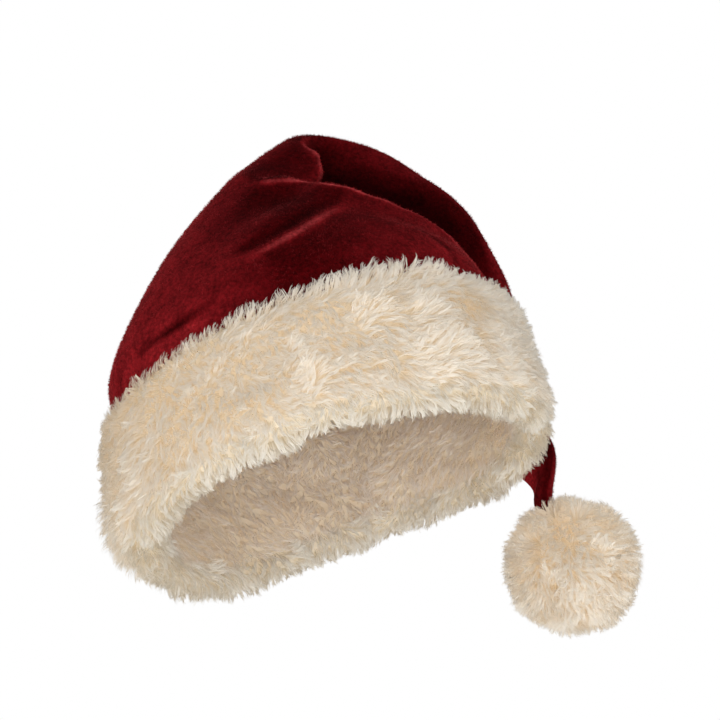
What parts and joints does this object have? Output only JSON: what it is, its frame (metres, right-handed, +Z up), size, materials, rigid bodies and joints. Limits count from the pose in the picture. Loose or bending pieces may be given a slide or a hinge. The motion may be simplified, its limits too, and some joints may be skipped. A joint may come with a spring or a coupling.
{
  "type": "santa hat with a folded fur brim and a pompom",
  "caption": "Long red velvet cap folded over to one side, with a deep cream fur brim and a fur pompom on its tip.",
  "frame": {"origin": "middle of the head opening at the height of the hem, where the hat sits on a head", "axes": "+Z up through the top of the head, -Y the front, +X the side that the tail hangs on"},
  "size_m": [0.2306, 0.2055, 0.2637],
  "materials": {
    "red_velvet": "deep red velvet with a short pile, matt with light edges",
    "cream_fur": "cream faux fur in soft wavy locks",
    "cream_fur_ball": "cream faux fur in short dense locks"
  },
  "bodies": {
    "root": {"crown": "red_velvet", "fur_brim": "cream_fur", "pompom": "cream_fur_ball"}
  },
  "joints": []
}
